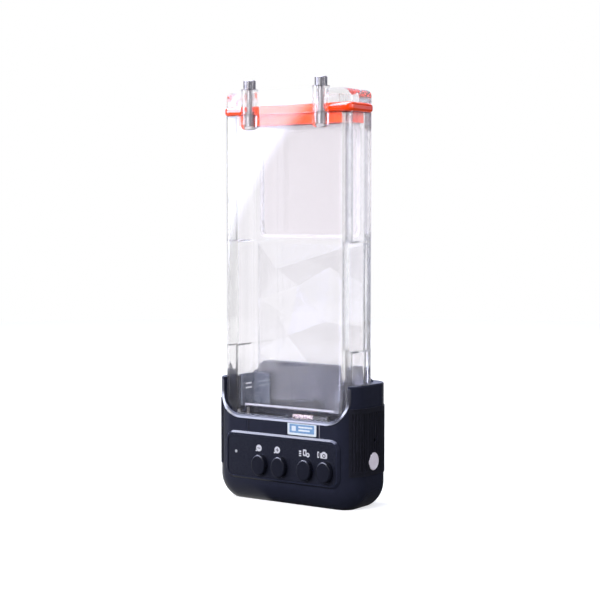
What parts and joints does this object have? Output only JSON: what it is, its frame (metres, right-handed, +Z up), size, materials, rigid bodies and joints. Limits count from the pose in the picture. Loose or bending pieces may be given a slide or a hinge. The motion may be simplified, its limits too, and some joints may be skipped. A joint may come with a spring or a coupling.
{
  "type": "waterproof phone case",
  "caption": "Clear waterproof housing for a phone, closed by a gasketed lid with thumb screws, on a black control base with oval push buttons.",
  "frame": {"origin": "middle of the bounding box across and in depth, on the resting surface", "axes": "+Z up along the case, -Y out of the front with the push buttons, +X to the right side with the power button"},
  "size_m": [0.1064, 0.046, 0.2571],
  "materials": {
    "clear_plastic": "polished clear moulding",
    "window_glass": "polished",
    "base_plastic": "fine satin",
    "plate_plastic": "satin",
    "button_plastic": "satin",
    "grip_rubber": "ribbed",
    "seal_rubber": "smooth",
    "gasket_silicone": "smooth",
    "screw_steel": "turned",
    "polished_steel": "polished",
    "insert_brass": "turned",
    "board_green": "lacquered",
    "switch_plastic": "moulded",
    "module_shield": "plain",
    "battery_wrap": "film",
    "light_lens": "clear",
    "sensor_plastic": "satin",
    "mark_plastic": "satin"
  },
  "bodies": {
    "case": {"housing_body": "clear_plastic", "camera_window": "window_glass", "window_seal": "seal_rubber", "thread_insert_left": "screw_steel", "thread_insert_right": "screw_steel", "base_shell": "base_plastic", "base_seal": "seal_rubber", "side_grip_left": "grip_rubber", "side_grip_right": "grip_rubber", "name_strip": "base_plastic", "control_plate": "plate_plastic", "status_light": "light_lens", "button_seals": "seal_rubber", "power_seal": "seal_rubber", "front_switches": "switch_plastic", "power_switch": "switch_plastic", "circuit_board": "board_green", "power_board": "board_green", "board_screws": "screw_steel", "power_board_screws": "screw_steel", "wireless_module": "module_shield", "battery": "battery_wrap", "bottom_cover": "base_plastic", "cover_screws": "screw_steel", "tripod_insert": "insert_brass", "housing_screws": "screw_steel", "contact_block": "switch_plastic", "contact_strip": "screw_steel", "sensor_cover": "sensor_plastic", "sensor_marks": "mark_plastic"},
    "lid": {"lid": "clear_plastic", "lid_gasket": "gasket_silicone"},
    "ring_left": {"retaining_ring_left": "screw_steel"},
    "screw_left": {"thumb_screw_left": "screw_steel"},
    "ring_right": {"retaining_ring_right": "screw_steel"},
    "screw_right": {"thumb_screw_right": "screw_steel"},
    "zoom_out_button": {"button_zoom_out": "button_plastic", "clip_zoom_out": "screw_steel", "plunger_zoom_out": "switch_plastic"},
    "zoom_in_button": {"button_zoom_in": "button_plastic", "clip_zoom_in": "screw_steel", "plunger_zoom_in": "switch_plastic"},
    "gallery_button": {"button_gallery": "button_plastic", "clip_gallery": "screw_steel", "plunger_gallery": "switch_plastic"},
    "shutter_button": {"button_shutter": "button_plastic", "clip_shutter": "screw_steel", "plunger_shutter": "switch_plastic"},
    "power_button": {"power_button": "polished_steel", "clip_power": "screw_steel", "plunger_power": "switch_plastic"}
  },
  "joints": [
    {"name": "lid_lift", "type": "slide", "parent": "case", "child": "lid", "axis": [0, 0, 1], "range_m": [0, 0.04]},
    {"name": "screw_left_rise", "type": "slide", "parent": "lid", "child": "ring_left", "axis": [0, 0, 1], "range_m": [0, 0.0063]},
    {"name": "screw_left_turn", "type": "hinge", "parent": "ring_left", "child": "screw_left", "pos_m": [-0.0263, -0.015, 0.2515], "axis": [0, 0, 1], "range_deg": [0, 3240]},
    {"name": "screw_right_rise", "type": "slide", "parent": "lid", "child": "ring_right", "axis": [0, 0, 1], "range_m": [0, 0.0063]},
    {"name": "screw_right_turn", "type": "hinge", "parent": "ring_right", "child": "screw_right", "pos_m": [0.0263, -0.015, 0.2515], "axis": [0, 0, 1], "range_deg": [0, 3240]},
    {"name": "zoom_out_press", "type": "slide", "parent": "case", "child": "zoom_out_button", "axis": [0, 1, 0], "range_m": [0, 0.001], "stiffness_N_per_m": 1000, "springref_m": -0.0003},
    {"name": "zoom_in_press", "type": "slide", "parent": "case", "child": "zoom_in_button", "axis": [0, 1, 0], "range_m": [0, 0.001], "stiffness_N_per_m": 1000, "springref_m": -0.0003},
    {"name": "gallery_press", "type": "slide", "parent": "case", "child": "gallery_button", "axis": [0, 1, 0], "range_m": [0, 0.001], "stiffness_N_per_m": 1000, "springref_m": -0.0003},
    {"name": "shutter_press", "type": "slide", "parent": "case", "child": "shutter_button", "axis": [0, 1, 0], "range_m": [0, 0.001], "stiffness_N_per_m": 1000, "springref_m": -0.0003},
    {"name": "power_press", "type": "slide", "parent": "case", "child": "power_button", "axis": [-1, 0, 0], "range_m": [0, 0.001], "stiffness_N_per_m": 1000, "springref_m": -0.0003}
  ],
  "couplings": [
    {"joint": "screw_left_turn", "follows": "screw_left_rise", "rad_per_m": 8975.9},
    {"joint": "screw_right_turn", "follows": "screw_right_rise", "rad_per_m": 8975.9}
  ]
}
